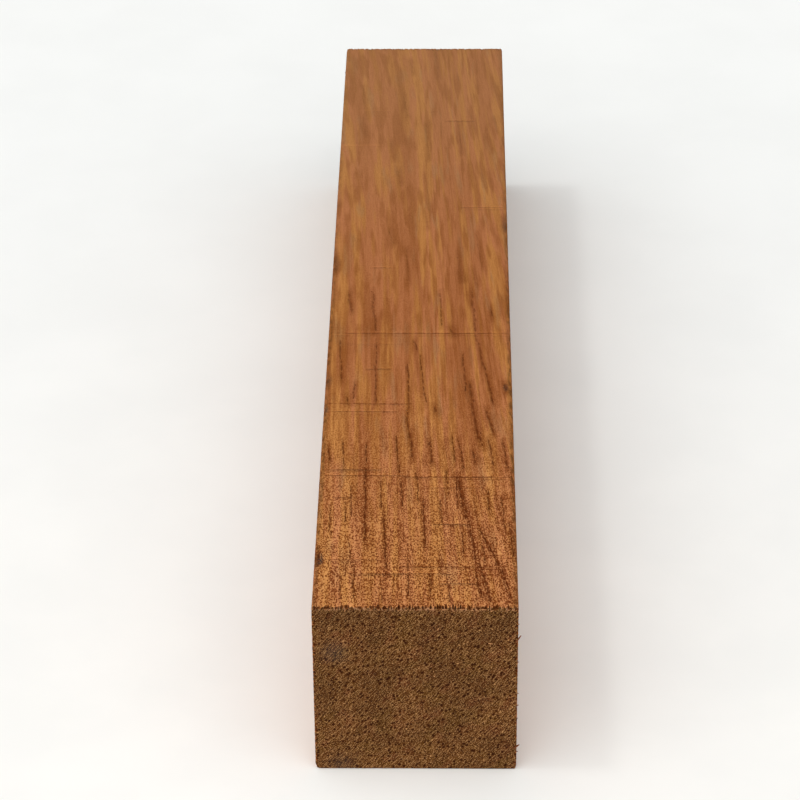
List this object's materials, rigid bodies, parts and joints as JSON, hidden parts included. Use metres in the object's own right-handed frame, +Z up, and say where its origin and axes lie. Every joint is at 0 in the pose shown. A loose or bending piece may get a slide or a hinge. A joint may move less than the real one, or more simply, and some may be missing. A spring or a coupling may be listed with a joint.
{
  "type": "sipo pen blank",
  "caption": "Square stick of rough-sawn sipo wood, 20 mm square and 120 mm long, a blank for turning the barrel of a pen.",
  "frame": {"origin": "middle of the long face that the blank lies on", "axes": "+Z up, +Y along the grain from the near sawn end to the far one, +X across to the right"},
  "size_m": [0.0206, 0.12, 0.02],
  "materials": {
    "sipo_wood": "rough-sawn unfinished hardwood, matt, with open pores"
  },
  "bodies": {
    "root": {"sipo_blank": "sipo_wood"}
  },
  "joints": []
}
